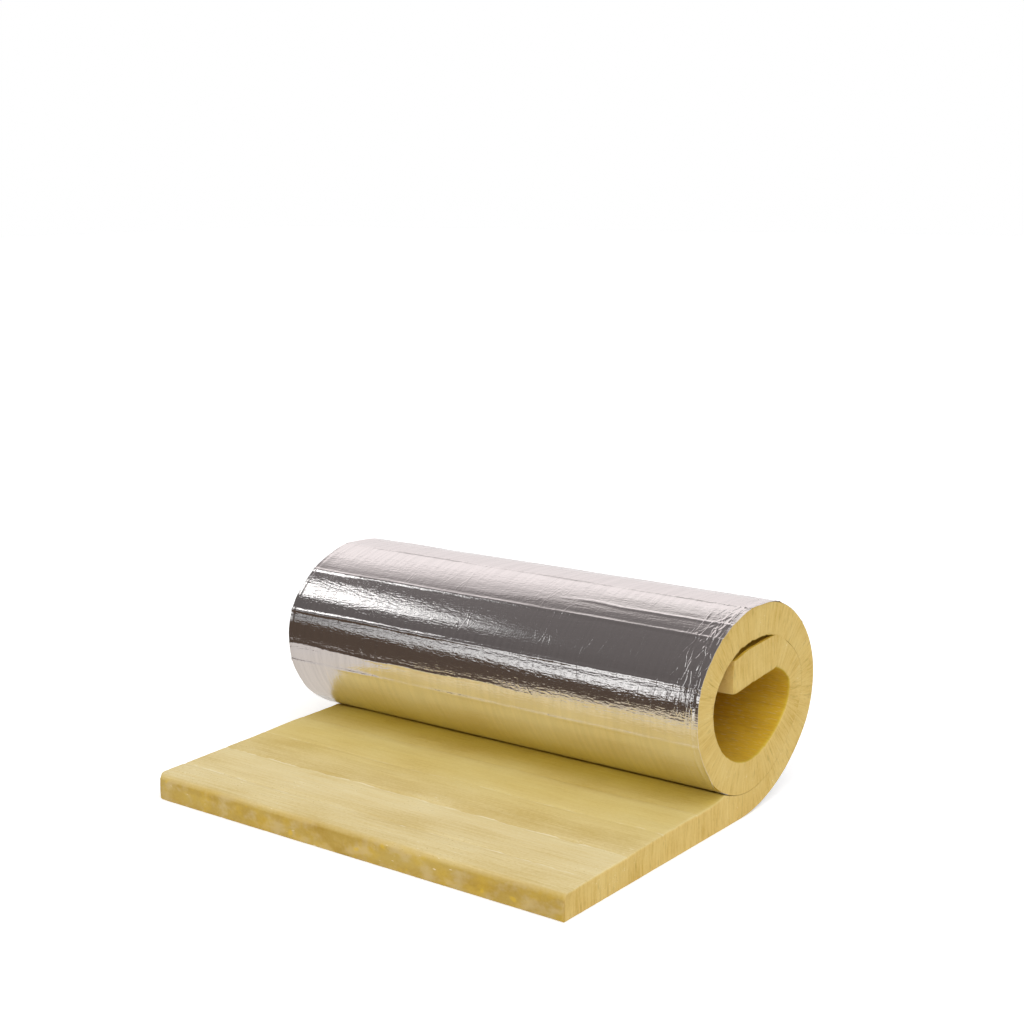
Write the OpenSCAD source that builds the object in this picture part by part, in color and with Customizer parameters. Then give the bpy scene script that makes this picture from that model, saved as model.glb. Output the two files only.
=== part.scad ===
// Foil-faced mineral wool mat, part unrolled on the floor.
// X runs along the roll, Y across it and Z up; the free end lies towards -Y.

/* [Mat] */
// Width of the mat, along the roll in mm
mat_width = 1000; // [600:50:1200]
// Full thickness of the mat with its foil in mm
mat_thickness = 60; // [54:1:64]
// Thickness of the foil facing in mm
foil_thickness = 1; // [0.8:0.1:1.5]
// Thickness at the free end, pressed by handling in mm
free_end_thickness = 48; // [40:1:54]
// Rounding of the free end's upper edge in mm
free_end_round = 12; // [4:1:16]

/* [Outer turn] */
// Length lying flat, from the free end to where the mat leaves the floor in mm
flat_length = 563; // [300:1:900]
// Radius of the low, sagging quarter in mm
sag_radius = 326; // [310:1:340]
// Slope at the end of the sagging quarter in degrees
sag_angle = 48; // [45:1:51]
// Radius of the steep far side in mm
side_radius = 159; // [152:1:166]
// Slope at the end of the far side in degrees
side_angle = 127; // [124:1:130]
// Radius of the crown in mm
crown_radius = 221; // [210:1:232]
// Straight stretch on top in mm
crown_flat = 27; // [15:1:40]
// Radius of the near shoulder in mm
shoulder_radius = 239; // [230:1:246]

/* [Pressed places] */
// Thickness of the near half of the outer turn, swollen by the bend in mm
swell_thickness = 64; // [60:1:68]
// Thickness under the roll, pressed by its weight in mm
press_thickness = 40; // [37:1:46]
// Thickness of each turn on the far side, pressed by the bend in mm
side_thickness = 48; // [46:1:52]
// Clearance between a turn and the one around it in mm
turn_gap = 1; // [0.6:0.1:1.5]

/* [Inner end] */
// Slope at which the inner turn leaves the outer one in degrees
leave_angle = 150; // [146:1:153]
// Radius of the inner turn's last bend in mm
last_bend_radius = 78; // [74:1:84]
// Slope of the straight inner end in degrees
end_angle = 184; // [182:1:188]
// Gap between the tip of the inner end and the shoulder over it in mm
tip_gap = 4; // [2:0.5:12]

/* [Hidden] */

// Largest turn of the outline between two points in degrees
facet_angle = 3;
// Slopes at the ends of the near shoulder and of the near cheek
shoulder_angle = 223;
cheek_angle = 282;
// Slope where the inner turn comes to lie on the outer one
land_angle = 20;
// Slopes between which the far side is pressed evenly, and where the full thickness is back
side_press = [48, 95];
full_angle = 175;

// Direction of a slope, and the direction from there into the roll
function along(h) = [cos(h), sin(h)];
function inward(h) = [-sin(h), cos(h)];
// Point at slope h of an arc that starts at p with slope h0
function on_arc(p, r, h0, h) = p + r * (inward(h0) - inward(h));
// Slopes along an arc after its first one
function slopes(h0, h1) = let(n = ceil((h1 - h0) / facet_angle)) [for (i = [1:n]) h0 + (h1 - h0) * i / n];
// Smooth change from a to b while h goes from h0 to h1
function blend(h, h0, h1, a, b) = a + (b - a) * (1 - cos(180 * max(0, min(1, (h - h0) / (h1 - h0))))) / 2;
function backwards(v) = [for (i = [len(v) - 1:-1:0]) v[i]];

// Thickness at a slope of the far half: t0 where the turns meet, pressed on the side, t1 at the top
function far_thickness(h, t0, t1) = h < side_press[0]
    ? blend(h, land_angle, side_press[0], t0, side_thickness)
    : blend(h, side_press[1], full_angle, side_thickness, t1);
function outer_thickness(h) = far_thickness(h, press_thickness, swell_thickness);
function inner_thickness(h) = far_thickness(h, mat_thickness, mat_thickness);

// Corners of the outer turn's outside, from where it leaves the floor at the origin
sag_end = on_arc([0, 0], sag_radius, 0, sag_angle);
side_end = on_arc(sag_end, side_radius, sag_angle, side_angle);
crown_end = on_arc(side_end, crown_radius, side_angle, 180);
shoulder_start = crown_end - [crown_flat, 0];
shoulder_end = on_arc(shoulder_start, shoulder_radius, 180, shoulder_angle);

// Outside of the far half of the outer turn at slope h
function far_point(h) = h <= sag_angle ? on_arc([0, 0], sag_radius, 0, h)
    : h <= side_angle ? on_arc(sag_end, side_radius, sag_angle, h)
    : on_arc(side_end, crown_radius, side_angle, h);
// Outside of the inner turn where it lies against the outer one, and its own slope there
function seat_point(h) = far_point(h) + (outer_thickness(h) + turn_gap) * inward(h);
function seat_slope(h) = let(d = seat_point(h + 0.1) - seat_point(h - 0.1)) atan2(d[1], d[0]);

// Radii of the near cheek and of the bend under it, solved so that the inner turn lands on its seat
landing = seat_point(land_angle);
landing_slope = 360 + seat_slope(land_angle);
reach = landing - shoulder_end;
cheek_turn = inward(shoulder_angle) - inward(cheek_angle);
under_turn = inward(cheek_angle) - inward(landing_slope);
turn_area = cheek_turn[0] * under_turn[1] - cheek_turn[1] * under_turn[0];
cheek_radius = (reach[0] * under_turn[1] - reach[1] * under_turn[0]) / turn_area;
under_radius = (cheek_turn[0] * reach[1] - cheek_turn[1] * reach[0]) / turn_area;
cheek_end = on_arc(shoulder_end, cheek_radius, shoulder_angle, cheek_angle);

// Inner end: one last bend, then straight
leave_slope = seat_slope(leave_angle);
bend_start = seat_point(leave_angle);
bend_end = on_arc(bend_start, last_bend_radius, leave_slope, end_angle);
// The straight end stops where it comes to the clearance under the shoulder's round inside
from_shoulder = bend_end - shoulder_start + [0, shoulder_radius];
shoulder_inside = shoulder_radius - swell_thickness - tip_gap;
tip_half = from_shoulder * along(end_angle);
end_length = sqrt(pow(tip_half, 2) - from_shoulder * from_shoulder + pow(shoulder_inside, 2)) - tip_half;
inner_tip = bend_end + end_length * along(end_angle);

// Outside of the mat from the free end to the inner end, each place as [point, slope, thickness]
far_slopes = concat([0], slopes(0, land_angle), slopes(land_angle, sag_angle),
    slopes(sag_angle, side_angle), slopes(side_angle, 180));
far_run = [for (h = far_slopes) [far_point(h), h, outer_thickness(h)]];
shoulder_run = [for (h = concat([180], slopes(180, shoulder_angle)))
    [on_arc(shoulder_start, shoulder_radius, 180, h), h, swell_thickness]];
cheek_run = [for (h = slopes(shoulder_angle, cheek_angle))
    [on_arc(shoulder_end, cheek_radius, shoulder_angle, h), h, swell_thickness]];
under_run = [for (h = slopes(cheek_angle, landing_slope))
    [on_arc(cheek_end, under_radius, cheek_angle, h), h,
        blend(h, cheek_angle, landing_slope, swell_thickness, mat_thickness)]];
seat_run = [for (h = far_slopes) if (h > land_angle && h < leave_angle - 1)
    [seat_point(h), seat_slope(h), inner_thickness(h)]];
bend_run = [for (h = concat([leave_slope], slopes(leave_slope, end_angle)))
    [on_arc(bend_start, last_bend_radius, leave_slope, h), h,
        blend(h, leave_slope, end_angle, inner_thickness(leave_angle), mat_thickness)]];
mat_run = concat([[[-flat_length, 0], 0, 0]], far_run, shoulder_run, cheek_run, under_run,
    seat_run, bend_run, [[inner_tip, end_angle, mat_thickness]]);

// Upper face of the flat part: rounded at the free end, dented where the turn lies on it
round_centre = [free_end_round - flat_length, free_end_thickness - free_end_round];
free_end_face = [for (h = [180:-10:90]) round_centre + free_end_round * along(h)];
meet_slope = 360 - acos(cos(cheek_angle) - (mat_thickness + turn_gap - cheek_end[1]) / under_radius);
dent_face = [for (h = concat([meet_slope], slopes(meet_slope, landing_slope)))
    on_arc(cheek_end, under_radius, cheek_angle, h) - turn_gap * inward(h)];
// Inside of the turns
turn_face = [for (s = mat_run) if (s[1] > land_angle) s[0] + s[2] * inward(s[1])];

foil_outside = [for (s = mat_run) s[0]];
foil_inside = [for (s = mat_run) s[0] + foil_thickness * inward(s[1])];
wool_inside = concat(free_end_face, dent_face, turn_face);

module wool_mat() {
    color("gold")
        across_width()
            polygon(concat(foil_inside, backwards(wool_inside)));
}

module foil_facing() {
    color("silver")
        across_width()
            polygon(concat(foil_outside, backwards(foil_inside)));
}

// Stands a section up, draws it out along the width of the mat and centres it on the origin
module across_width() {
    translate([0, (flat_length - far_point(90)[0]) / 2, 0])
        rotate([90, 0, 90])
            linear_extrude(height = mat_width, center = true)
                children();
}

wool_mat();
foil_facing();
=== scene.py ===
"""Dresses the part-unrolled insulation mat: fibrous mineral wool under a creased aluminium foil."""

import math
from functools import partial

import bmesh
import bpy
import numpy as np
from mathutils import Matrix, Vector, noise


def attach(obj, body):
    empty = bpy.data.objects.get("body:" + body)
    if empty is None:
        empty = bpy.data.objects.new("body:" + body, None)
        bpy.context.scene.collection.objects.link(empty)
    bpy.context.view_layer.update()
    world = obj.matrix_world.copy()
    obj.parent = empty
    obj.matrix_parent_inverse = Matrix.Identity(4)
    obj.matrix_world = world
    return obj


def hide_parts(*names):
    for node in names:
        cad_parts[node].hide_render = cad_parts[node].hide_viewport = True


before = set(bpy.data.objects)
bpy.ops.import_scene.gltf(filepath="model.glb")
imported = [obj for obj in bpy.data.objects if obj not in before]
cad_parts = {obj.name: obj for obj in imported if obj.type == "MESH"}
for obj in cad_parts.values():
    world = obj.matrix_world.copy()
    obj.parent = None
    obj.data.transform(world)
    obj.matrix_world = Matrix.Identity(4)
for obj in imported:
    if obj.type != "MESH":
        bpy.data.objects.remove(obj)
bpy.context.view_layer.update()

bl_info = {
    "name": "Insulation roll",
    "version": (1, 0, 0),
    "blender": (4, 5, 0),
    "location": "View3D > Sidebar > Insulation roll",
    "description": "Models the wool and the foil of a part-unrolled insulation mat around its packed solids",
    "category": "Add Mesh",
}

MM = 0.001
WHITE = (1, 1, 1, 1)

# Section of the mat in mm and degrees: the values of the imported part, which this file can't read
MAT_WIDTH = 1000
MAT_THICKNESS = 60
FOIL_ALLOWANCE = 1
FREE_END_THICKNESS = 48
FLAT_LENGTH = 563
SAG_RADIUS, SAG_ANGLE = 326, 48
SIDE_RADIUS, SIDE_ANGLE = 159, 127
CROWN_RADIUS, CROWN_FLAT = 221, 27
SHOULDER_RADIUS, SHOULDER_ANGLE = 239, 223
CHEEK_ANGLE = 282
SWELL_THICKNESS = 64
PRESS_THICKNESS = 40
SIDE_THICKNESS = 48
TURN_GAP = 1
LAND_ANGLE = 20
LEAVE_ANGLE = 150
LAST_BEND_RADIUS = 78
END_ANGLE = 184
TIP_GAP = 4
SIDE_PRESS = (48, 95)
FULL_ANGLE = 175

# Points of the section: degrees between them, or numbers of them under the cheek, along the last bend,
# and on the upper face where the turn dents it and where it squeezes it up
SLOPE_STEP = 0.5
UNDER_POINTS, BEND_POINTS, DENT_POINTS, SQUEEZE_POINTS = 200, 60, 120, 12
# The squeezed wool: degrees by which it meets the turn sooner, and its lengths before and past there
SQUEEZE_ANGLE, SQUEEZE_LENGTH, SQUEEZE_END = 3.5, 50, 20

# The mat is laid up from strips of wool stood on edge; the first joint lies this far from the free end
STRIP_WIDTH = 111.3
FIRST_JOINT = 77

# Stretches of the mat in mm from the free end: the lengths between which each begins, and ends
OPEN_TURN = ((620, 720), (1690, 1760))
OPEN_LIP = ((600, 680), (1700, 1770))
SLIT = ((1180, 1240), (1420, 1480))
PRESSED_TURN = ((1780, 1840), (2240, 2290))
# Lengths between which the open turn's back passes into its front, and its shoulder into its cheek
CREST, CHEEK = (1170, 1280), (1450, 1500)


def along(slope):
    """Direction of a slope in the section."""
    turn = math.radians(slope)
    return np.array((math.cos(turn), math.sin(turn)))


def inward(slope):
    """Direction from a slope into the roll."""
    turn = math.radians(slope)
    return np.array((-math.sin(turn), math.cos(turn)))


def on_arc(start, radius, slope0, slope):
    """Point at a slope of an arc that begins at start with slope0."""
    return start + radius * (inward(slope0) - inward(slope))


def ease(value, low, high, a, b):
    """Smooth change from a to b while value goes from low to high."""
    part = np.clip((value - low) / (high - low), 0, 1)
    return a + (b - a) * (1 - np.cos(math.pi * part)) / 2


def stretch(length, begins, ends):
    """1 along a stretch of the mat and 0 off it, from the lengths between which it begins and ends."""
    return ease(length, *begins, 0, 1) * ease(length, *ends, 1, 0)


def bell(distance, width):
    """1 at no distance, falling off to nothing within about two widths."""
    return np.exp(-(distance / width) ** 2)


def slopes(first, last):
    """Slopes from the first to the last, one step apart."""
    return np.arange(first, last + 0.01, SLOPE_STEP)


class MatSection:
    """Path of the mat's outside from the free end to the inner end, with the thickness along it."""

    def __init__(self):
        self.sag_end = on_arc(np.zeros(2), SAG_RADIUS, 0, SAG_ANGLE)
        self.side_end = on_arc(self.sag_end, SIDE_RADIUS, SAG_ANGLE, SIDE_ANGLE)
        crown_end = on_arc(self.side_end, CROWN_RADIUS, SIDE_ANGLE, 180)
        shoulder_start = crown_end - np.array((CROWN_FLAT, 0))
        shoulder_end = on_arc(shoulder_start, SHOULDER_RADIUS, 180, SHOULDER_ANGLE)
        landing = self.seat_point(LAND_ANGLE)
        landing_slope = 360 + self.seat_slope(LAND_ANGLE)
        turns = np.column_stack((inward(SHOULDER_ANGLE) - inward(CHEEK_ANGLE),
                                 inward(CHEEK_ANGLE) - inward(landing_slope)))
        cheek_radius, under_radius = np.linalg.solve(turns, landing - shoulder_end)
        cheek_end = on_arc(shoulder_end, cheek_radius, SHOULDER_ANGLE, CHEEK_ANGLE)
        leave_slope = self.seat_slope(LEAVE_ANGLE)
        bend_start = self.seat_point(LEAVE_ANGLE)
        bend_end = on_arc(bend_start, LAST_BEND_RADIUS, leave_slope, END_ANGLE)
        from_shoulder = bend_end - shoulder_start + np.array((0, SHOULDER_RADIUS))
        inside = SHOULDER_RADIUS - SWELL_THICKNESS - TIP_GAP
        half = from_shoulder @ along(END_ANGLE)
        end_length = math.sqrt(half ** 2 - from_shoulder @ from_shoulder + inside ** 2) - half

        rows = [(np.array((-FLAT_LENGTH, 0)), 0, FREE_END_THICKNESS)]
        rows += [(self.far_point(h), h, self.far_thickness(h, PRESS_THICKNESS, SWELL_THICKNESS))
                 for h in slopes(0, 180)]
        rows += [(on_arc(shoulder_start, SHOULDER_RADIUS, 180, h), h, SWELL_THICKNESS)
                 for h in slopes(180, SHOULDER_ANGLE)]
        rows += [(on_arc(shoulder_end, cheek_radius, SHOULDER_ANGLE, h), h, SWELL_THICKNESS)
                 for h in slopes(SHOULDER_ANGLE + SLOPE_STEP, CHEEK_ANGLE)]
        rows += [(on_arc(cheek_end, under_radius, CHEEK_ANGLE, h), h,
                  ease(h, CHEEK_ANGLE, landing_slope, SWELL_THICKNESS, MAT_THICKNESS))
                 for h in np.linspace(CHEEK_ANGLE, landing_slope, UNDER_POINTS)[1:]]
        rows += [(self.seat_point(h), 360 + self.seat_slope(h), self.far_thickness(h))
                 for h in slopes(LAND_ANGLE + SLOPE_STEP, LEAVE_ANGLE - SLOPE_STEP)]
        rows += [(on_arc(bend_start, LAST_BEND_RADIUS, leave_slope, h), 360 + h,
                  ease(h, leave_slope, END_ANGLE, self.far_thickness(LEAVE_ANGLE), MAT_THICKNESS))
                 for h in np.linspace(leave_slope, END_ANGLE, BEND_POINTS)]
        rows.append((bend_end + end_length * along(END_ANGLE), 360 + END_ANGLE, MAT_THICKNESS))
        self.points = np.array([row[0] for row in rows])
        self.slopes = np.array([row[1] for row in rows])
        steps = np.hypot(*np.diff(self.points, axis=0).T)
        self.lengths = np.concatenate(((0,), np.cumsum(steps)))
        self.total = self.lengths[-1]

        # Upper face of the flat part: straight, squeezed up just before the turn, then dented by it
        meet_slope = 360 - math.degrees(math.acos(
            math.cos(math.radians(CHEEK_ANGLE)) - (MAT_THICKNESS + TURN_GAP - cheek_end[1]) / under_radius))
        dent = [self.unrolled(on_arc(cheek_end, under_radius, CHEEK_ANGLE, h) - TURN_GAP * inward(h))
                for h in np.linspace(meet_slope - SQUEEZE_ANGLE, landing_slope, DENT_POINTS)]
        self.meet_length, top = dent[0]
        rise = (MAT_THICKNESS - FREE_END_THICKNESS) / self.meet_length
        face = [(0, FREE_END_THICKNESS)] + dent
        face += [(self.meet_length - SQUEEZE_LENGTH * (1 - u),
                  MAT_THICKNESS - rise * SQUEEZE_LENGTH * (1 - u) + (top - MAT_THICKNESS) * u ** 2)
                 for u in np.linspace(0, 0.95, SQUEEZE_POINTS)]
        face += [(length, row[2]) for length, row in zip(self.lengths, rows) if row[1] > LAND_ANGLE]
        face.sort()
        self.face_lengths, self.face_heights = np.array(face).T
        self.shift = (FLAT_LENGTH - self.far_point(90)[0]) / 2

    def far_thickness(self, slope, at_landing=MAT_THICKNESS, at_top=MAT_THICKNESS):
        """Thickness at a slope of the far half of a turn, unless told otherwise of the inner one."""
        if slope < SIDE_PRESS[0]:
            return ease(slope, LAND_ANGLE, SIDE_PRESS[0], at_landing, SIDE_THICKNESS)
        return ease(slope, SIDE_PRESS[1], FULL_ANGLE, SIDE_THICKNESS, at_top)

    def far_point(self, slope):
        """Outside of the far half of the outer turn."""
        if slope <= SAG_ANGLE:
            return on_arc(np.zeros(2), SAG_RADIUS, 0, slope)
        if slope <= SIDE_ANGLE:
            return on_arc(self.sag_end, SIDE_RADIUS, SAG_ANGLE, slope)
        return on_arc(self.side_end, CROWN_RADIUS, SIDE_ANGLE, slope)

    def seat_point(self, slope):
        """Outside of the inner turn where it lies against the outer one."""
        lift = self.far_thickness(slope, PRESS_THICKNESS, SWELL_THICKNESS) + TURN_GAP
        return self.far_point(slope) + lift * inward(slope)

    def seat_slope(self, slope):
        """The inner turn's own slope there."""
        step = self.seat_point(slope + 0.1) - self.seat_point(slope - 0.1)
        return math.degrees(math.atan2(step[1], step[0]))

    def unrolled(self, point):
        """Length along the mat and height over its outside of a point near the junction."""
        y, z = point
        if y <= 0:
            return FLAT_LENGTH + y, z
        turn = math.atan2(y, SAG_RADIUS - z)
        return FLAT_LENGTH + SAG_RADIUS * turn, SAG_RADIUS - math.hypot(y, SAG_RADIUS - z)

    def height(self, lengths):
        """Thickness of the mat with its foil at lengths along it."""
        return np.interp(lengths, self.face_lengths, self.face_heights)

    def rolled(self, flat):
        """Rolls up points given as length along, place across and height, in mm, to metres in the frame."""
        length = np.clip(flat[:, 0], 0, self.total)
        beyond = flat[:, 0] - length
        slope = np.radians(np.interp(length, self.lengths, self.slopes))
        y = np.interp(length, self.lengths, self.points[:, 0])
        z = np.interp(length, self.lengths, self.points[:, 1])
        y = y + beyond * np.cos(slope) - flat[:, 2] * np.sin(slope) + self.shift
        z = z + beyond * np.sin(slope) + flat[:, 2] * np.cos(slope)
        return np.column_stack((flat[:, 1], y, z)) * MM


SECTION = MatSection()
MEET_LENGTH = SECTION.meet_length
# Relief of the wool, then of the foil: height in mm or as a share, cells in mm along, across and through
# the mat, and a seed
RELIEF = {
    "groove_depth": (0.4, (60, 90, 1), 1),
    "fibre_lines": (1, (9, 170, 1), 2),
    "short_lines": (0.6, (19, 60, 1), 3),
    "waves": (1, (170, 230, 1), 4),
    "torn_edge": (1, (24, 30, 1), 5),
    "frayed_edge": (2.5, (9, 30, 1), 35),
    "end_streaks": (0.8, (8, 1, 45), 6),
    "end_lumps": (1.3, (70, 1, 50), 7),
    "front_tufts": (1.6, (1, 26, 20), 8),
    "front_lumps": (1.4, (1, 90, 40), 9),
    "ridge_wander": (1.5, (400, 160, 1), 21),
    "ridge_height": (0.5, (90, 120, 1), 22),
    "shoulder_wander": (5, (400, 75, 1), 31),
    "fine_crinkles": (0.5, (7, 60, 1), 29),
    "crinkles": (1, (13, 110, 1), 23),
    "wide_crinkles": (0.9, (24, 70, 1), 24),
    "swells": (1.6, (46, 260, 1), 25),
    "folds": (1.6, (90, 11, 1), 26),
    "close_folds": (0.35, (40, 8, 1), 33),
    "edge_wander": (3, (90, 400, 1), 30),
    "cheek_wander": (9, (400, 95, 1), 34),
    "lip_waves": (0.4, (30, 500, 1), 27),
    "lip_lift": (0.5, (22, 1, 1), 28),
    "crease_wander": (5, (70, 900, 1), 40),
    "crease_strength": (0.8, (60, 900, 1), 50),
}
# Steps in noise space from one seed to the next
SEED_STEP = (17.31, 7.77, 3.19)


def ripple(points, name, row=0):
    """Smooth noise at points in mm: a relief, or one of its rows."""
    height, cell, seed = RELIEF[name]
    cells = points / np.array(cell) + (seed + row) * np.array(SEED_STEP)
    return height * np.array([noise.noise(place) for place in cells.tolist()])


def linear(code):
    """An sRGB hex colour as linear RGBA."""
    parts = [int(code[i:i + 2], 16) / 255 for i in (1, 3, 5)]
    return tuple(p / 12.92 if p <= 0.04045 else ((p + 0.055) / 1.055) ** 2.4 for p in parts) + (1,)


def add_node(tree, kind, inputs=(), output=0, **settings):
    """Adds a node with its settings and inputs, each a value or another node's output; returns its output."""
    made = tree.nodes.new("ShaderNode" + kind)
    for name, value in settings.items():
        setattr(made, name, value)
    for key, value in inputs.items() if isinstance(inputs, dict) else enumerate(inputs):
        if isinstance(value, bpy.types.NodeSocket):
            tree.links.new(value, made.inputs[key])
        else:
            made.inputs[key].default_value = value
    return made.outputs[output] if made.outputs else None


def new_material(name):
    """An empty node material, and add_node for its tree."""
    material = bpy.data.materials.new(name)
    material.use_nodes = True
    material.node_tree.nodes.clear()
    return material, partial(add_node, material.node_tree)


def colour_prop(name, description, code):
    """A colour setting with its default."""
    return bpy.props.FloatVectorProperty(name=name, description=description, subtype="COLOR", size=4,
                                         min=0, max=1, default=linear(code))


def size_prop(name, description, millimetres):
    """A length setting with its default in metres."""
    return bpy.props.FloatProperty(name=name, description=description, unit="LENGTH", subtype="DISTANCE",
                                   min=0, default=millimetres * MM, precision=5)


def strength_prop(name, description, default):
    """A strength setting with its default."""
    return bpy.props.FloatProperty(name=name, description=description, min=0, default=default)


class WoolSettings(bpy.types.PropertyGroup):
    """Sizes and colours of the wool."""

    edge_round: size_prop("Edge rounding", "Rounding of the cut edges", 3)
    free_end_round: size_prop("Free end rounding", "Rounding of the free end's upper edge", 9)
    wave: size_prop("Waves", "Height of the broad waves of the faces", 2)
    fibre_relief: size_prop("Fibre relief", "Height of the fine lines of the fibre layers", 0.45)
    joint_depth: size_prop("Joint depth", "Depth of the grooves between the strips", 1.4)
    pale: colour_prop("Pale fibres", "Colour of the dry upper fibres", "#E9DBB0")
    gold: colour_prop("Golden fibres", "Main colour of the bonded fibres", "#DFCB96")
    deep: colour_prop("Deep fibres", "Colour between the fibre layers", "#C6AA62")
    cut: colour_prop("Cut tint", "Tint of the faces cut across the fibres", "#F8EBC2")
    # Handled tint: painted shade that makes the free end, which faces the front, and its upper edge darker
    # and yellower
    free_end_shade: colour_prop("Handled tint", "Tint of the soiled free end", "#D2C48F")
    # Shaded and sheltered tints: painted shade, darker and more saturated, on the wool beside the roll and
    # inside its bore
    shaded: colour_prop("Shaded tint", "Tint of the less faded wool beside the roll", "#E6DA78")
    sheltered_shade: colour_prop("Sheltered tint", "Tint of the unfaded wool inside the roll", "#EDCE48")
    resin: colour_prop("Resin spots", "Colour of spots rich in binder", "#D2AE3C")
    lean: colour_prop("Lean spots", "Colour of spots with little binder", "#CFBC97")
    shade: colour_prop("Pits", "Colour of pits and of open places between fibres", "#A98B45")
    fleck: colour_prop("Flecks", "Colour of loose pale fibres", "#F6EDD2")


class FoilSettings(bpy.types.PropertyGroup):
    """Sizes and colours of the foil."""

    sheet: size_prop("Sheet thickness", "Thickness of the laminated foil", 0.4)
    ridge: size_prop("Ridge height", "Height of the long ridges over the strip joints", 2)
    crinkle: size_prop("Crinkle height", "Height of the lengthwise crinkles", 0.16)
    lip: size_prop("Lip", "How far the foil stands past the cut ends", 3)
    tuck: size_prop("Tuck", "How far the covered foil stays inside the cut ends", 5)
    metal: colour_prop("Foil", "Colour of the bright aluminium", "#F8F5F4")
    dulled: colour_prop("Dulled foil", "Colour of the aluminium where handling has dulled it", "#F1EEED")


class StageSettings(bpy.types.PropertyGroup):
    """Light and camera."""

    ambient: strength_prop("Ambient", "Strength of the even white surroundings", 0.44)
    key_strength: strength_prop("Key light", "Strength of the large soft light", 1.66)
    fill_strength: strength_prop("Fill light", "Strength of the soft light from the front", 0.85)
    focal_length: bpy.props.FloatProperty(name="Focal length", description="Lens of the camera",
                                          unit="CAMERA", min=1, default=60.557)


class RollSettings(bpy.types.PropertyGroup):
    """Everything that a user would change."""

    wool: bpy.props.PointerProperty(type=WoolSettings)
    foil: bpy.props.PointerProperty(type=FoilSettings)
    stage: bpy.props.PointerProperty(type=StageSettings)


def split_along(piece, axis, parts):
    """Cuts every edge that runs along one axis into equal parts, in edit mode."""
    bpy.ops.object.mode_set(mode="EDIT")
    bpy.ops.mesh.select_mode(type="EDGE")
    bpy.ops.mesh.select_all(action="DESELECT")
    mesh = bmesh.from_edit_mesh(piece.data)
    for edge in mesh.edges:
        if abs((edge.verts[1].co - edge.verts[0].co)[axis]) > 1e-6:
            edge.select_set(True)
    bmesh.update_edit_mesh(piece.data)
    bpy.ops.mesh.subdivide(number_cuts=parts - 1)
    bpy.ops.object.mode_set(mode="OBJECT")


def read_points(mesh):
    """A mesh's points as rows."""
    flat = np.empty(len(mesh.vertices) * 3)
    mesh.vertices.foreach_get("co", flat)
    return flat.reshape(-1, 3)


def write_points(mesh, points, **kept):
    """Moves a mesh's points, and keeps named rows of three values for them as attributes."""
    mesh.vertices.foreach_set("co", points.ravel())
    for name, rows in kept.items():
        mesh.attributes.new(name, "FLOAT_VECTOR", "POINT").data.foreach_set("vector", rows.ravel())
    mesh.update()


def round_off(distance, radius):
    """Drop of a rounded edge at a distance from the edge."""
    left = np.clip(radius - distance, 0, radius)
    return radius - np.sqrt(radius ** 2 - left ** 2)


# Far edge in mm: how far it is drawn in and how far across that reaches, the lengths between which it
# comes out again, and the rounding of its corner
FAR_DRAWN_IN, FAR_REACH = 22, 300
FAR_OUT_AGAIN, FAR_CORNER = (620, 1080), 24


def far_edge(length, across):
    """Shifts along and across of the far edge: drawn in on the flat part, with a rounded corner."""
    from_edge = across + MAT_WIDTH / 2
    drawn_in = ease(length, *FAR_OUT_AGAIN, FAR_DRAWN_IN, 0) * ease(from_edge, 0, FAR_REACH, 1, 0)
    corner = round_off(from_edge, FAR_CORNER) * bell(length, FAR_CORNER)
    return corner, drawn_in


def from_joint(length):
    """Distance from the nearest joint between strips."""
    off = length - FIRST_JOINT
    return off - STRIP_WIDTH * np.rint(off / STRIP_WIDTH)


def front_share(length):
    """1 on the front of the open turn, 0 on its back."""
    return ease(length, *CREST, 0, 1)


# How far the mat springs out over the crown and is drawn flat between joints, in mm, and the crown's place
CROWN_SPRING, DRAWN_FLAT = 3.8, 1.3
CROWN_LENGTH, CROWN_REACH = 1285, 110


def outside_swell(length):
    """How far the outside stands out: sprung over the crown, drawn flatter between the strip joints."""
    crown = CROWN_SPRING * bell(length - CROWN_LENGTH, CROWN_REACH)
    drawn = stretch(length, *OPEN_TURN) * front_share(length)
    return crown - DRAWN_FLAT * drawn * np.sin(math.pi * from_joint(length) / STRIP_WIDTH) ** 2


# Inner end in mm: how far it swells out and in, where it begins to, and where it narrows to its tip
INNER_OUT, INNER_IN = 8, 5
INNER_OUT_BEGINS, INNER_IN_BEGINS = (2270, 2330), 2380
INNER_NARROWS, INNER_TIP_SHARE = 2420, 0.15


def inner_end_swell(length):
    """How far the inner end swells out towards the turn over it, and in towards the bore at its tip."""
    outwards = INNER_OUT * ease(length, *INNER_OUT_BEGINS, 0, 1)
    outwards = outwards * ease(length, INNER_NARROWS, SECTION.total, 1, INNER_TIP_SHARE)
    inwards = INNER_IN * ease(length, INNER_IN_BEGINS, SECTION.total, 0, 1)
    return outwards, inwards


# Rows of the wool block: distances from a cut end in mm and shares of the thickness; its parts along
# the mat, made in two steps, and across it
END_ROWS = np.array((0, 1.5, 4, 9, 16))
THICKNESS_ROWS = np.array((0, 0.04, 0.12, 0.28, 0.46, 0.64, 0.82, 0.94, 1))
LENGTH_PARTS, WIDTH_PARTS = (100, 6), 60
# Strips: how much they differ in height in mm, how many heights there are, and their seed
STRIP_LIFT, STRIP_HEIGHTS, STRIP_SEED = 0.8, 40, 11
# Width of the grooves, reaches of the slack far edge and of the torn near edge, and slant of the inner
# end's cut, in mm
GROOVE_WIDTH, FAR_SLACK, TORN_REACH, INNER_SLANT = 4, 45, 14, 7
# The covered face: lengths between which it begins and ends, and how far it fills the gap in mm
COVERED_FACE = ((MEET_LENGTH - 15, MEET_LENGTH + 25), (1120, 1190))
COVERED_LIFT = 0.9
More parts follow.
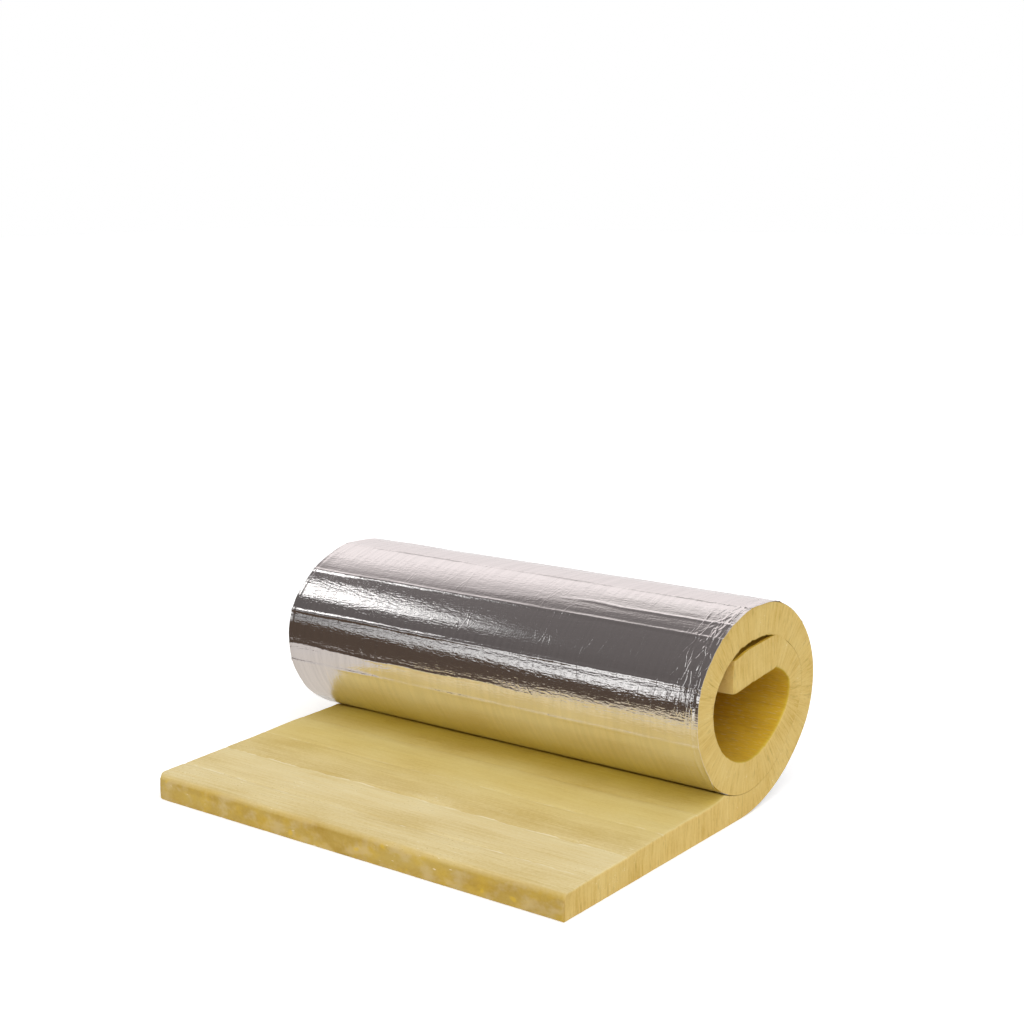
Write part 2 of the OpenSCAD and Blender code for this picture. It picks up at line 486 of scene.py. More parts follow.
# The rim of the inner turn: how far it is pressed against the outer one, and its reach, in mm
RIM_PRESS, RIM_REACH = 0.9, 2.5
# Painted shade beside and inside the roll: lengths between which it grows, and by how much; shares lost by a
# cut end, and reaches
PAINTED_ROLL_SHADE = ((120, 380, 0.28), (MEET_LENGTH - 120, MEET_LENGTH, 0.22), (620, 1000, 0.5))
LESS_SHADE_AT_ENDS = ((0.12, 80), (0.35, 4))
# Painted shade, with the free end's spots, on the free end's upper edge: its share and reach
TOP_EDGE_SHARE, TOP_EDGE_REACH = 0.55, 7


def shape_wool(points, settings):
    """Turns the points of the block into the worn, rolled mat; returns its points, places and kinds."""
    length_parts = LENGTH_PARTS[0] * LENGTH_PARTS[1]
    low, high = points.min(axis=0), points.max(axis=0)
    share = (points - low) / (high - low)
    half = MAT_WIDTH / 2
    middle = np.linspace(END_ROWS[-1] - half, half - END_ROWS[-1], WIDTH_PARTS - 2 * len(END_ROWS) + 3)
    across_rows = np.concatenate((END_ROWS - half, middle[1:-1], half - END_ROWS[::-1]))
    length = share[:, 0] * SECTION.total
    across = across_rows[np.rint(share[:, 1] * WIDTH_PARTS).astype(int)]
    layer = THICKNESS_ROWS[np.rint(share[:, 2] * (len(THICKNESS_ROWS) - 1)).astype(int)]
    free_end = np.rint(share[:, 0] * length_parts) == 0
    inner_end = np.rint(share[:, 0] * length_parts) == length_parts
    from_end = half - np.abs(across)
    cut_end = from_end < 0.01
    at = np.column_stack((length, across, np.zeros(len(length))))

    # Upper face: strips of slightly different height, grooves between them, lines of fibre, broad waves
    strip = np.floor((length - FIRST_JOINT) / STRIP_WIDTH).astype(int)
    lifts = np.random.default_rng(STRIP_SEED).uniform(-STRIP_LIFT, STRIP_LIFT, STRIP_HEIGHTS)
    groove = bell(from_joint(length), GROOVE_WIDTH) * (0.6 + ripple(at, "groove_depth"))
    relief = lifts[strip % STRIP_HEIGHTS] - settings.joint_depth / MM * groove
    relief += settings.fibre_relief / MM * (ripple(at, "fibre_lines") + ripple(at, "short_lines"))
    relief += settings.wave / MM * ripple(at, "waves")
    height = SECTION.height(length)
    # Squeezed up in front of the turn, except by the far edge
    straight = np.interp(length, (0, MEET_LENGTH), (FREE_END_THICKNESS, MAT_THICKNESS))
    squeezed = np.where(length < MEET_LENGTH + SQUEEZE_END, np.maximum(height - straight, 0), 0)
    height -= squeezed * bell(half + across, FAR_SLACK)
    height += relief
    height -= round_off(length, settings.free_end_round / MM)
    # Pressed tight against the next turn where it is covered
    covered = stretch(length, *COVERED_FACE)
    height += covered * (COVERED_LIFT - relief)
    height -= round_off(from_end, settings.edge_round / MM) * (1 - 0.8 * covered)
    height -= round_off(SECTION.total - length, settings.edge_round / MM)
    # The torn edge along the slit between the turns
    in_slit = stretch(length, *SLIT)
    near_end = bell(half - across, TORN_REACH)
    height -= near_end * (1 + 4 * in_slit) * np.abs(ripple(at, "torn_edge"))
    height -= near_end * in_slit * np.abs(ripple(at, "frayed_edge"))
    outwards, inwards = inner_end_swell(length)
    outwards = outwards + outside_swell(length)
    outwards += RIM_PRESS * stretch(length, *PRESSED_TURN) * bell(from_end, RIM_REACH)
    depth = FOIL_ALLOWANCE - outwards + layer * (height + inwards + outwards - FOIL_ALLOWANCE)

    # Cut faces: ends and free end are slightly uneven, most in the middle of the thickness
    body = np.sin(math.pi * np.clip(layer, 0.02, 0.98)) ** 0.5
    place = np.column_stack((length, across, depth))
    uneven = ripple(place, "end_streaks") + ripple(place, "end_lumps")
    across = across + np.where(cut_end, np.sign(across) * body * uneven, 0)
    rough = ripple(place, "front_tufts") + ripple(place, "front_lumps")
    length = length + np.where(free_end | inner_end, body * rough, 0)
    length = length + np.where(inner_end, INNER_SLANT * layer, 0)
    corner, drawn_in = far_edge(length, across)
    moved = np.column_stack((length + corner, across + drawn_in, depth))

    # Kinds of surface for the finish: cut at the sides, painted shade and spots on the free end, painted
    # shade beside and inside the roll
    # Painted shade: grows towards the roll, is strongest inside its bore, and is less by the cut ends
    sheltered_shade = sum(ease(length, start, end, 0, gain) for start, end, gain in PAINTED_ROLL_SHADE)
    sheltered_shade *= 1 - sum(loss * bell(from_end, reach) for loss, reach in LESS_SHADE_AT_ENDS)
    sheltered_shade *= 1 - (cut_end | free_end | inner_end)
    shaded_and_spotted = np.maximum(free_end, TOP_EDGE_SHARE * bell(length, TOP_EDGE_REACH) * ~cut_end)
    kind = np.column_stack((cut_end | inner_end, shaded_and_spotted, sheltered_shade)).astype(float)
    return SECTION.rolled(moved), place, kind


# Patterns of the wool: cell sizes along, across and through the mat in mm, detail and roughness.
# Single fibres are too fine to show, so lines, streaks, fluff and flecks are drawn as coarse as bundles
WOOL_PATTERNS = {
    "lines": ((2.8, 120, 30), 3, 0.55),
    "streaks": ((3, 40, 60), 4, 0.6),
    "bundles": ((17, 230, 70), 2.5, 0.5),
    "patches": ((85, 160, 60), 1, 0.5),
    "fluff": ((4, 7, 5), 4, 0.62),
    "joint_waver": ((240, 70, 200), 3, 0.6),
    "binder": ((34, 52, 30), 3, 0.55),
    "lean": ((30, 44, 28), 3, 0.55),
    "blob": ((26, 34, 26), 1, 0.4),
    "open": ((6, 40, 34), 2, 0.5),
    "pits": ((3.4, 4.2, 3.4), 1, 0.5),
    "flecks": ((2.6, 16, 4), 1, 0.5),
}
# Weights in the wool's tone: lines, bundles and patches, fluff, and a strip's own tone on the faces and
# where the wool is torn
TONE_WEIGHTS, FLUFF_WEIGHT = (0.09, 0.03, 0.1), 0.07
STRIP_WEIGHTS = (0.05, 0.012)
# How much paler a strip gets towards the next, and its mean tone, which is taken off
STRIP_RISE, STRIP_MEAN = 0.6, 0.8
# How far the joints waver in mm, and the width of their loose fibres as a share of a strip
JOINT_WAVER, JOINT_SHARE = 16, 0.022
# Tones at which the deep, golden and pale colours stand
DEEP_TONE, GOLD_TONE, PALE_TONE = 0.072, 0.144, 0.222


def make_mineral_wool(settings):
    """Resin-bonded mineral wool, cut across its layers: matt, straw-coloured, finely lined by its fibres.

    The layers stand on edge in strips, so a cut face shows faint streaks and the strips differ in tone.
    """
    material, node = new_material("mineral_wool_bonded_cut")
    place = node("Attribute", output="Vector", attribute_name="mat_place")
    length = node("SeparateXYZ", (place,))
    kind = node("Attribute", output="Vector", attribute_name="wool_kind")
    side, front, sheltered_shade = node("SeparateXYZ", (kind,)).node.outputs
    pattern = {}
    for name, (size, detail, roughness) in WOOL_PATTERNS.items():
        cells = node("VectorMath", (place, tuple(1 / (MM * cell) for cell in size)), operation="MULTIPLY")
        pattern[name] = node("TexNoise",
                             {"Vector": cells, "Scale": 1, "Detail": detail, "Roughness": roughness})

    # Lines of fibre on the faces, streaks on the cut ends and inside, over broader bundles and patches
    streaks = node("MapRange", (pattern["streaks"], 0.25, 0.75))
    torn = node("Math", (side, sheltered_shade), operation="MAXIMUM")
    lines = node("Mix", {0: torn, 2: pattern["lines"], 3: streaks})
    mixed = node("CombineXYZ", (lines, pattern["bundles"], pattern["patches"]))
    tone = node("VectorMath", (mixed, TONE_WEIGHTS), "Value", operation="DOT_PRODUCT")
    tone = node("Math", (pattern["fluff"], FLUFF_WEIGHT, tone), operation="MULTIPLY_ADD")

    # Strips with wavering joints, each of its own tone and paler towards the next; fainter where torn
    strip = node("Math", (pattern["joint_waver"], JOINT_WAVER * MM, length), operation="MULTIPLY_ADD")
    strip = node("Math", (strip, (FIRST_JOINT + JOINT_WAVER / 2) * MM), operation="SUBTRACT")
    strip = node("Math", (strip, STRIP_WIDTH * MM), operation="DIVIDE")
    own = node("Math", (strip,), operation="FLOOR")
    own = node("TexWhiteNoise", {"W": own}, noise_dimensions="1D")
    rising = node("Math", (strip,), operation="FRACT")
    own = node("Math", (rising, STRIP_RISE, own), operation="MULTIPLY_ADD")
    own = node("Math", (own, STRIP_MEAN), operation="SUBTRACT")
    weight = node("MapRange", (torn, 0, 1, *STRIP_WEIGHTS))
    tone = node("Math", (own, weight, tone), operation="MULTIPLY_ADD")
    colour = node("ValToRGB", (tone,))
    stops = colour.node.color_ramp.elements
    stops[0].position = DEEP_TONE
    stops[0].color = settings.deep
    stops[1].position = PALE_TONE
    stops[1].color = settings.pale
    stops.new(GOLD_TONE).color = settings.gold
    # Tints of the cut faces, and painted shade on the free end and on the wool beside and inside the roll
    painted_shade = node("ValToRGB", (sheltered_shade,))
    stops = painted_shade.node.color_ramp.elements
    stops[0].color = WHITE
    stops[1].color = settings.sheltered_shade
    stops.new(0.5).color = settings.shaded
    for tint, mask in ((settings.cut, side), (settings.free_end_shade, front), (painted_shade, 1)):
        colour = node("Mix", {0: mask, 6: colour, 7: tint}, 2, data_type="RGBA", blend_type="MULTIPLY")

    # Broken pale lines of loose fibre along the joints
    joint = node("Math", (strip, 0.5), operation="PINGPONG")
    joint = node("MapRange", (joint, 0, JOINT_SHARE, 0.7, 0))
    broken = node("MapRange", (pattern["lean"], 0.42, 0.6))
    pattern["joint"] = node("Math", (joint, broken), operation="MULTIPLY")
    # Faces for the spots: open ones, their tops, clusters on them, and the inside of the roll
    open_air = node("MapRange", (sheltered_shade, 0, 0.35, 1, 0))
    top = node("Math", (open_air, side), operation="SUBTRACT", use_clamp=True)
    clusters = node("MapRange", (pattern["patches"], 0.52, 0.62))
    clusters = node("Math", (clusters, open_air), operation="MULTIPLY")
    inside = node("Math", (sheltered_shade, 3), operation="POWER")

    # Spots: pattern, where it begins and is full, its share, colour and the faces that have it
    spots = (("joint", 0, 0.7, 0.6, settings.fleck, top),
             ("binder", 0.42, 0.72, 0.36, settings.resin, front),
             ("lean", 0.44, 0.7, 0.36, settings.lean, front),
             ("blob", 0.7, 0.78, 0.6, settings.resin, front),
             ("open", 0.56, 0.8, 0.5, settings.shade, side),
             ("pits", 0.66, 0.78, 0.6, settings.shade, clusters),
             ("flecks", 0.68, 0.8, 0.6, settings.fleck, clusters),
             ("open", 0.48, 0.72, 0.4, settings.shade, inside),
             ("flecks", 0.56, 0.74, 0.38, settings.gold, inside))
    for spot, begins, full, share, spot_colour, where in spots:
        mask = node("MapRange", (pattern[spot], begins, full, 0, share), interpolation_type="SMOOTHSTEP")
        mask = node("Math", (mask, where), operation="MULTIPLY")
        colour = node("Mix", {0: mask, 6: colour, 7: spot_colour}, 2, data_type="RGBA")

    relief = node("Math", (pattern["fluff"], 0.6, lines), operation="MULTIPLY_ADD")
    bump = node("Bump", {"Strength": 0.4, "Distance": 1.4 * MM, "Height": relief})
    shader = node("BsdfPrincipled", {"Base Color": colour, "Normal": bump, "Roughness": 0.95, "IOR": 1.45,
                                     "Specular IOR Level": 0.15})
    node("OutputMaterial", {"Surface": shader})
    return material


class ROLL_OT_wool(bpy.types.Operator):
    """Adds the mat of mineral wool, worn, cut and rolled up"""

    bl_idname = "insulation_roll.wool"
    bl_label = "Wool mat"

    def execute(self, context):
        settings = context.scene.insulation_roll.wool
        size = (SECTION.total * MM, MAT_WIDTH * MM, MAT_THICKNESS * MM)
        bpy.ops.mesh.primitive_cube_add(size=1, scale=size)
        bpy.ops.object.transform_apply()
        wool = context.object
        wool.name = wool.data.name = "mineral_wool_mat"
        for axis, parts in ((0, LENGTH_PARTS[0]), (0, LENGTH_PARTS[1]), (1, WIDTH_PARTS),
                            (2, len(THICKNESS_ROWS) - 1)):
            split_along(wool, axis, parts)
        points, place, kind = shape_wool(read_points(wool.data), settings)
        write_points(wool.data, points, mat_place=place * MM, wool_kind=kind)
        bpy.ops.object.mode_set(mode="EDIT")
        bpy.ops.mesh.select_all(action="SELECT")
        bpy.ops.mesh.normals_make_consistent(inside=False)
        bpy.ops.object.mode_set(mode="OBJECT")
        bpy.ops.object.shade_smooth_by_angle(angle=math.radians(50))
        wool.data.materials.append(make_mineral_wool(settings))
        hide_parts("wool_mat")
        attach(wool, "root")
        return {"FINISHED"}


# Rows of the foil as starts, ends and parts: along its hidden underside, the back and the front of its
# open turn and its hidden inner turn, and across it
FOIL_RUNS = ((0, 560, 16), (560, 1060, 125), (1060, 1780, 290), (1780, SECTION.total, 34))
FOIL_ACROSS = ((-500, -488, 4), (-488, 380, 38), (380, 436, 20), (436, 500, 38))
# The lesser ridge on the shoulder and the crease low on the cheek: lengths, and places across between
# which the one begins and the other ends, in mm
SHOULDER_RIDGE, SHOULDER_RIDGE_BEGINS = 1376, (90, 200)
CHEEK_CREASE, CHEEK_CREASE_ENDS = 1594, (-40, 200)
# Lengths between which the ridges stray from their joints, and how far at both, in mm
RIDGE_STRAYS = (1430, 1500, -5, 3)
# Folds by the near end: distances from it and lengths between which they change, with their shares at
# both, and how much they lean
FOLDS_REACH = (30, 100, 1, 0)
FOLDS_GROW = (1370, 1450, 0.1, 0.5)
FOLDS_LEAN = 0.16
# Half widths of the ridges and creases in mm, and how deep the relief may go
RIDGE_WIDTH, SHOULDER_WIDTH, CREASE_WIDTH, EDGE_WIDTH, CHEEK_WIDTH = 3.6, 3.2, 1.9, 2.4, 2.8
DEEPEST = -0.45
# Distance of the fold line from the trimmed edge, inset of the lip on the back, and length over which
# the tuck fades, in mm
EDGE_FOLD, BACK_LIP, TUCK_FADE = 10, 1.5, 20
# Creases by the near end: length along the foil and distance from that end, in mm, where each starts
# and where it ends
END_CREASES = ((1330, 4, 1385, 42), (1352, 4, 1410, 52), (1376, 4, 1436, 36),
               (1405, 5, 1490, 48), (1440, 4, 1540, 36), (1350, 58, 1600, 18),
               (1350, 20, 1590, 30), (1380, 10, 1590, 22), (1400, 86, 1600, 40))


def foil_rows(runs):
    """Row places of the foil from runs of start, end and parts."""
    rows = [np.linspace(start, end, parts + 1)[1:] for start, end, parts in runs]
    return np.concatenate(((runs[0][0],), *rows))


def shape_foil(points, settings):
    """Turns the points of the flat grid into the creased foil round the mat; returns points and places."""
    low, high = points.min(axis=0), points.max(axis=0)
    share = (points - low) / (high - low)
    length_rows = foil_rows(FOIL_RUNS)
    across_rows = foil_rows(FOIL_ACROSS)
    length = length_rows[np.rint(share[:, 0] * (len(length_rows) - 1)).astype(int)]
    across = across_rows[np.rint(share[:, 1] * (len(across_rows) - 1)).astype(int)]
    half = MAT_WIDTH / 2
    at = np.column_stack((length, across, np.zeros(len(length))))

    # Long ridges over the strip joints, wandering a little, and a lesser one on the shoulder
    ridge_height = settings.ridge / MM
    wander = ripple(at, "ridge_wander") + ease(length, *RIDGE_STRAYS)
    ridge = ridge_height * bell(from_joint(length + wander), RIDGE_WIDTH)
    ridge *= 0.75 + ripple(at, "ridge_height")
    off_shoulder = length - SHOULDER_RIDGE + ripple(at, "shoulder_wander")
    lesser = ease(across, *SHOULDER_RIDGE_BEGINS, 0, 1) * bell(off_shoulder, SHOULDER_WIDTH)
    ridge += 0.5 * ridge_height * lesser
    # Crinkles that run along the roll
    crinkle = ripple(at, "fine_crinkles") + ripple(at, "crinkles")
    crinkle += ripple(at, "wide_crinkles") + ripple(at, "swells")
    crinkle *= settings.crinkle / MM
    # Sharp folds by the near cut end: ridges of a noise drawn out along the edge, leaning a little
    from_near = half - across
    near_end = ease(from_near, *FOLDS_REACH) * ease(length, *FOLDS_GROW)
    lean = at + np.column_stack((np.zeros(len(at)), FOLDS_LEAN * length, np.zeros(len(at))))
    fold = 0.8 * near_end * (0.6 - np.abs(ripple(lean, "folds")))
    fold += near_end * ripple(lean, "close_folds")
    # Creases that slant or run round the roll there and cross each other
    for row, (start, first, end, last) in enumerate(END_CREASES):
        distance = np.interp(length, (start, end), (first, last))
        off = from_near - distance - ripple(at, "crease_wander", row)
        strength = np.maximum(0.4 + ripple(at, "crease_strength", row), 0)
        strength *= 0.8 * stretch(length, (start - 20, start + 10), (end - 10, end + 30))
        width = CREASE_WIDTH * math.hypot(1, (last - first) / (end - start))
        fold += bell(off, width) * strength * ease(length, *CHEEK, 1, 0.6)
    # A fold line close to the trimmed edge, and a wandering crease low on the cheek
    from_end = half - np.abs(across)
    off_edge = from_end - EDGE_FOLD - ripple(at, "edge_wander")
    fold += np.where(across > 0, 0.9, 0.3) * bell(off_edge, EDGE_WIDTH)
    off_cheek = length - CHEEK_CREASE - ripple(at, "cheek_wander")
    fold += 0.75 * bell(off_cheek, CHEEK_WIDTH) * ease(across, *CHEEK_CREASE_ENDS, 1, 0)
    relief = stretch(length, *OPEN_TURN) * np.maximum(ridge + crinkle + fold, DEEPEST)

    # The trimmed lip waves past the wool in front, is flush at the back and stays inside where it is covered
    at_edge = from_end < 0.01
    lip = settings.lip / MM * np.where(across > 0, 1, 0.7)
    lip *= 1 + ripple(at, "lip_waves")
    lip = lip * front_share(length) - BACK_LIP * (1 - front_share(length))
    shown = stretch(length, *OPEN_LIP)
    tucked = settings.tuck / MM * (1 - shown)
    moved_across = across * (1 - tucked / half) + np.where(at_edge, np.sign(across) * lip * shown, 0)
    relief += np.where(at_edge, shown * (0.5 + ripple(at, "lip_lift")), 0)
    relief += inner_end_swell(length)[0] + outside_swell(length)
    corner, drawn_in = far_edge(length, across)
    from_free_end = length + settings.tuck / MM * np.exp(-length / TUCK_FADE)
    moved = np.column_stack((from_free_end + corner, moved_across + drawn_in, -relief))
    return SECTION.rolled(moved), at


# Patterns of the foil: cell sizes along and across the mat in mm, and detail. Its finest dimples and
# crinkles are too fine to show, so they are drawn some mm wide
FOIL_PATTERNS = {
    "dimples": ((3.4, 4), 1),
    "crinkles": ((3.6, 18), 1.5),
    "cross": ((110, 34), 1),
    "where": ((110, 90), 2),
    "wrinkles": ((34, 9), 2),
    "end_creases": ((58, 17), 1.5),
    "haze": ((170, 9), 3),
}
# In metres: places across between which the close creases begin, and lengths between which they fade
# and between which the foil gets rubbed dull
CREASES_BEGIN = (0.41, 0.48)
CREASES_FADE = (1.54, 1.6)
RUBBED = (1.575, 1.625)


def make_aluminium_foil(settings):
    """Bright rolled aluminium foil laminated to the wool: mirror-like, broken up by fine creases."""
    material, node = new_material("aluminium_foil_bright_creased")
    place = node("Attribute", output="Vector", attribute_name="mat_place")
    length, across = node("SeparateXYZ", (place,)).node.outputs[:2]
    pattern = {}
    for name, (size, detail) in FOIL_PATTERNS.items():
        scale = (1 / (MM * size[0]), 1 / (MM * size[1]), 1)
        cells = node("VectorMath", (place, scale), operation="MULTIPLY")
        pattern[name] = node("TexNoise", {"Vector": cells, "Scale": 1, "Detail": detail, "Roughness": 0.5})

    # Sparse creases across the roll, and closer ones by the near cut end: level lines of drawn-out noises
    near_end = node("MapRange", (across, *CREASES_BEGIN), interpolation_type="SMOOTHSTEP")
    upper = node("MapRange", (length, *CREASES_FADE, 1, 0.15))
    near_end = node("Math", (near_end, upper), operation="MULTIPLY")
    sparse = node("MapRange", (pattern["where"], 0.47, 0.6), interpolation_type="SMOOTHSTEP")
    creases = []
    levels = ((pattern["cross"], 0.02, sparse), (pattern["end_creases"], 0.035, near_end))
    for drawn_out, width, where in levels:
        level = node("Math", (drawn_out, 0.5), operation="SUBTRACT")
        level = node("Math", (level,), operation="ABSOLUTE")
        crease = node("MapRange", (level, 0, width, 1, 0), interpolation_type="SMOOTHSTEP")
        creases.append(node("Math", (crease, where), operation="MULTIPLY"))
    wrinkle = node("Math", (pattern["wrinkles"], near_end), operation="MULTIPLY")

    # Fine relief and its heights in mm
    reliefs = ((pattern["dimples"], 0.17), (pattern["crinkles"], 0.36), (creases[0], 0.12),
               (creases[1], 0.4), (wrinkle, 0.6))
    normal = None
    for relief, height in reliefs:
        inputs = {"Height": relief, "Distance": height * MM}
        if normal:
            inputs["Normal"] = normal
        normal = node("Bump", inputs)
    # Dulled in faint streaks by handling, and more low on the cheek, where it rubs on the wool
    rubbed = node("MapRange", (length, *RUBBED, 0, 0.21))
    haze = node("MapRange", (pattern["haze"], 0.35, 0.75, 0.07, 0.18))
    dulled = node("Math", (rubbed, haze), operation="MAXIMUM")
    streaked = node("MapRange", (pattern["haze"], 0.38, 0.62))
    colour = node("Mix", {0: streaked, 6: settings.metal, 7: settings.dulled}, 2, data_type="RGBA")
    shader = node("BsdfPrincipled",
                  {"Base Color": colour, "Metallic": 1, "Roughness": dulled, "Normal": normal})
    node("OutputMaterial", {"Surface": shader})
    return material


class ROLL_OT_foil(bpy.types.Operator):
    """Adds the foil facing, creased and drawn round the mat"""

    bl_idname = "insulation_roll.foil"
    bl_label = "Foil facing"

    def execute(self, context):
        settings = context.scene.insulation_roll.foil
        bpy.ops.mesh.primitive_grid_add(x_subdivisions=sum(run[2] for run in FOIL_RUNS),
                                        y_subdivisions=sum(run[2] for run in FOIL_ACROSS), size=1)
        foil = context.object
        foil.name = foil.data.name = "aluminium_foil_facing"
        points, place = shape_foil(read_points(foil.data), settings)
        write_points(foil.data, points, mat_place=place * MM)
        wall = foil.modifiers.new("foil_wall", "SOLIDIFY")
        wall.thickness = settings.sheet
        wall.offset = -1
        bpy.ops.object.modifier_apply(modifier=wall.name)
        bpy.ops.object.shade_smooth_by_angle(angle=math.radians(60))
        foil.data.materials.append(make_aluminium_foil(settings))
        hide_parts("foil_facing")
        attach(foil, "root")
        return {"FINISHED"}


# Camera of the view: place in metres, turn round the upright axis, look down and tilt in degrees
CAMERA_PLACE = (2.01546, -2.5371, 1.17838)
CAMERA_TURN, CAMERA_DOWN, CAMERA_TILT = 37.35, 10.943, -0.52
SENSOR = 36
# Directions that the key light and the fill light come from, and how wide they look in degrees
KEY_FROM, KEY_SPREAD = (0.42, -0.3, 0.86), 70
FILL_FROM, FILL_SPREAD = (0.15, -0.88, 0.36), 60
LIGHT_DISTANCE = 3
# Floor: size in metres, its colour, and the light added for the eye
FLOOR_SIZE, FLOOR_COLOUR, FLOOR_LIFT = 60, "#F4F4F4", 0.32

# Cards that stand in for the dark studio round the white table, and for the floor beside the mat in painted
# shade: corners in metres, shaded sideways (0) or upwards (1), from which colour to which, and strength
CARDS = (
    # Floor seen only by reflections: painted shade on the floor beside the mat, dimmer and warmer than the
    # lit floor
    ("left_floor_shade", ((-2.2, -1.6, 0.003), (-0.8, -1.6, 0.003), (-2.2, 0.3, 0.003), (-0.8, 0.3, 0.003)),
     0, "#DCD5D1", "#DCD5D1", 0.88),
    # Painted shade on the floor in front of the mat, turning to painted yellow bounce light from the mat
    # towards its right
    ("near_floor_shade_and_bounce", ((-0.8, -1.6, 0.003), (0.45, -1.6, 0.003), (-0.8, 0.1, 0.003), (0.45, 0.1, 0.003)),
     0, "#DCD5D1", "#E4D4AC", 0.88),
    ("front_flag", ((-2.4, -0.47, -0.16), (0.3, -0.5, 0.105), (-2.4, -0.47, 0.44), (0.3, -0.5, 0.28)),
     1, "#564940", "#564940", 0.88),
    ("front_wall", ((-4.6, -2.8, 0), (1, -2.8, 0), (-4.6, -2.55, 1.3), (1, -2.55, 1.3)),
     1, "#564940", "#605B5A", 0.88),
    ("front_lamp", ((-2.86, -2.3, 0.74), (-0.79, -2.3, 0.36), (-2.86, -2.3, 1.22), (-0.79, -2.3, 1.04)),
     0, "#8A8A8A", "#FFFFFF", 1.05),
    ("dark_ceiling", ((-4.6, -2.55, 1.3), (1, -2.55, 1.3), (-4.6, -0.4, 2.85), (1, 1.13, 2.85)),
     1, "#605B5A", "#757070", 0.9),
    ("ceiling_edge_left", ((-4.6, -0.4, 2.85), (-1.9, 0.34, 2.85), (-4.6, 0.35, 2.85), (-1.9, 2.54, 2.85)),
     1, "#757070", "#F8F0F0", 0.98),
    ("ceiling_dusk_right", ((-1.9, 0.34, 2.85), (1, 1.13, 2.85), (-1.9, 0.9, 2.85), (1, 3.2, 2.85)),
     1, "#757070", "#948E8D", 0.9),
    ("ceiling_edge_right", ((-1.9, 0.9, 2.85), (1, 3.2, 2.85), (-1.9, 2.54, 2.85), (1, 4.00, 2.85)),
     1, "#8A8483", "#FCF6F5", 1.05),
    ("left_lamp", ((-2.31, -0.94, 2), (-1.32, -1.07, 2), (-2.06, -0.24, 2), (-1.15, -0.64, 2)),
     0, "#FFFFFF", "#404040", 1.9),
    ("pale_ceiling", ((-6, -0.5, 3), (3, -0.5, 3), (-6, 6, 3), (3, 6, 3)),
     1, "#FCF5F5", "#F2EAEA", 1.02),
    ("back_wall", ((-6, 6, 0), (3, 6, 0), (-6, 6, 3), (3, 6, 3)),
     1, "#F9F1F1", "#F9F1F1", 0.88),
    ("left_wall", ((-5.2, -3, 0), (-5.2, 3, 0), (-5.2, -3, 3), (-5.2, 3, 3)),
     1, "#8A8484", "#FFFFFF", 1),
    ("right_flag_back", ((5.3, 3.06, 2.57), (5.3, 5.06, 4.24), (5.3, 1.04, 3.86), (5.3, 1.71, 6.38)),
     1, "#605B5A", "#B0AAA8", 0.9),
    ("right_flag_front", ((5.3, -3.06, 2.57), (5.3, -5.06, 4.24), (5.3, -1.04, 3.86), (5.3, -1.71, 6.38)),
     1, "#605B5A", "#B0AAA8", 0.9),
    ("right_wall", ((5.2, -3, 0), (5.2, 3, 0), (5.2, -3, 3), (5.2, 3, 3)),
     1, "#8A8484", "#FFFFFF", 1),
)


def card(name, corners, axis, first, last, strength):
    """A flat card that only reflections see, shaded from one colour to another."""
    bpy.ops.mesh.primitive_plane_add(size=1)
    made = bpy.context.object
    made.name = name
    for point, corner in zip(made.data.vertices, corners):
        point.co = corner
    material, node = new_material(name + "_paint")
    side = node("SeparateXYZ", (node("UVMap"),), axis)
    shade = node("Mix", {0: side, 6: linear(first), 7: linear(last)}, 2, data_type="RGBA")
    glow = node("Emission", {"Color": shade, "Strength": strength})
    node("OutputMaterial", {"Surface": glow})
    made.data.materials.append(material)
    made.visible_camera = made.visible_diffuse = made.visible_shadow = False
    made.visible_transmission = made.visible_volume_scatter = False


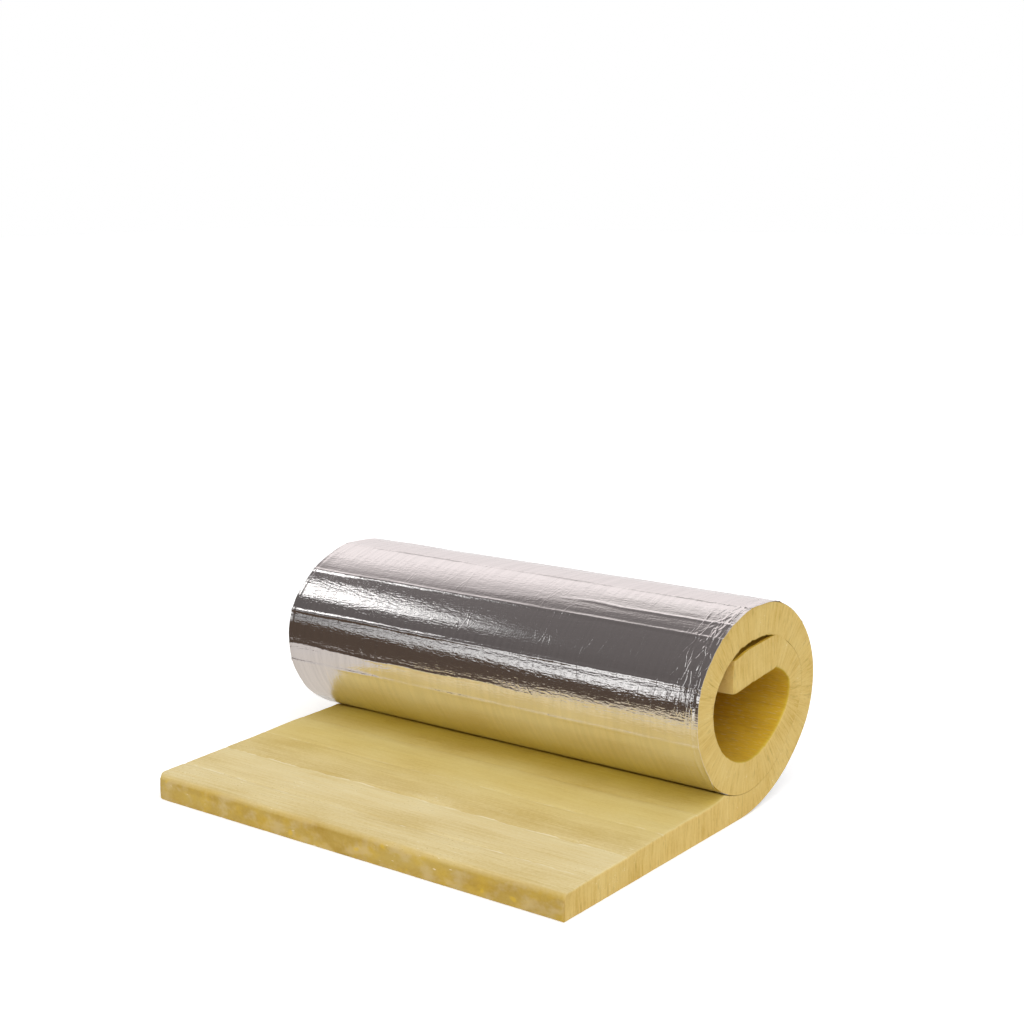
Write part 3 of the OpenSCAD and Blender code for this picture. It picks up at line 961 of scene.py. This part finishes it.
class ROLL_OT_stage(bpy.types.Operator):
    """Adds the floor, the light and the camera"""

    bl_idname = "insulation_roll.stage"
    bl_label = "Stage"

    def execute(self, context):
        settings = context.scene.insulation_roll.stage
        scene = context.scene
        scene.view_settings.view_transform = "Standard"

        # White surroundings for the eye and for the foil, a weaker even light for the rest
        world = bpy.data.worlds.new("white_surroundings")
        scene.world = world
        world.use_nodes = True
        world.node_tree.nodes.clear()
        node = partial(add_node, world.node_tree)
        path = node("LightPath").node.outputs
        seen = path["Is Camera Ray"]
        for ray in ("Is Glossy Ray", "Is Transmission Ray"):
            seen = node("Math", (seen, path[ray]), operation="MAXIMUM")
        even = node("Background", {"Color": WHITE, "Strength": settings.ambient})
        white = node("Background", {"Color": WHITE, "Strength": 1})
        mixed = node("MixShader", (seen, even, white))
        node("OutputWorld", {"Surface": mixed})

        # Floor: matt white card; a little added light for the eye makes it the white of the background
        bpy.ops.mesh.primitive_plane_add(size=FLOOR_SIZE)
        floor = context.object
        floor.name = "floor"
        material, node = new_material("floor_white_card")
        matt = node("BsdfDiffuse", {"Color": linear(FLOOR_COLOUR)})
        eye = node("LightPath", (), "Is Camera Ray")
        lift = node("Math", (eye, FLOOR_LIFT), operation="MULTIPLY")
        glow = node("Emission", {"Color": WHITE, "Strength": lift})
        both = node("AddShader", (matt, glow))
        node("OutputMaterial", {"Surface": both})
        floor.data.materials.append(material)

        # Large soft light from above and the right, and a weaker one from the front
        lights = (("key_light", KEY_FROM, KEY_SPREAD, settings.key_strength),
                  ("fill_light", FILL_FROM, FILL_SPREAD, settings.fill_strength))
        for name, direction, spread, strength in lights:
            bpy.ops.object.light_add(type="SUN", location=Vector(direction) * LIGHT_DISTANCE)
            light = context.object
            light.name = name
            light.data.angle = math.radians(spread)
            light.data.energy = strength
            light.rotation_euler = Vector(direction).to_track_quat("Z", "Y").to_euler()
            light.visible_glossy = False
        for entry in CARDS:
            card(*entry)

        bpy.ops.object.camera_add(location=CAMERA_PLACE)
        camera = context.object
        camera.name = "camera"
        turn = (Matrix.Rotation(math.radians(CAMERA_TURN), 3, "Z")
                @ Matrix.Rotation(math.radians(90 - CAMERA_DOWN), 3, "X")
                @ Matrix.Rotation(math.radians(CAMERA_TILT), 3, "Z"))
        camera.rotation_euler = turn.to_euler()
        camera.data.lens = settings.focal_length
        camera.data.sensor_width = SENSOR
        scene.camera = camera
        return {"FINISHED"}


class ROLL_PT_panel(bpy.types.Panel):
    """Lists the pieces of the insulation roll"""

    bl_idname = "ROLL_PT_panel"
    bl_label = "Insulation roll"
    bl_space_type = "VIEW_3D"
    bl_region_type = "UI"
    bl_category = "Insulation roll"

    def draw(self, context):
        column = self.layout.column(align=True)
        for operator in PIECES:
            column.operator(operator.bl_idname, text=operator.bl_label)


SETTINGS = (WoolSettings, FoilSettings, StageSettings, RollSettings)
PIECES = (ROLL_OT_wool, ROLL_OT_foil, ROLL_OT_stage)
CLASSES = SETTINGS + PIECES + (ROLL_PT_panel,)


def register():
    """Registers the classes and the scene's settings."""
    for cls in CLASSES:
        bpy.utils.register_class(cls)
    bpy.types.Scene.insulation_roll = bpy.props.PointerProperty(type=RollSettings)


def unregister():
    """Takes them away again."""
    del bpy.types.Scene.insulation_roll
    for cls in reversed(CLASSES):
        bpy.utils.unregister_class(cls)


def main():
    """Builds every piece in order."""
    register()
    bpy.ops.insulation_roll.wool()
    bpy.ops.insulation_roll.foil()
    bpy.ops.insulation_roll.stage()


if __name__ == "__main__":
    main()
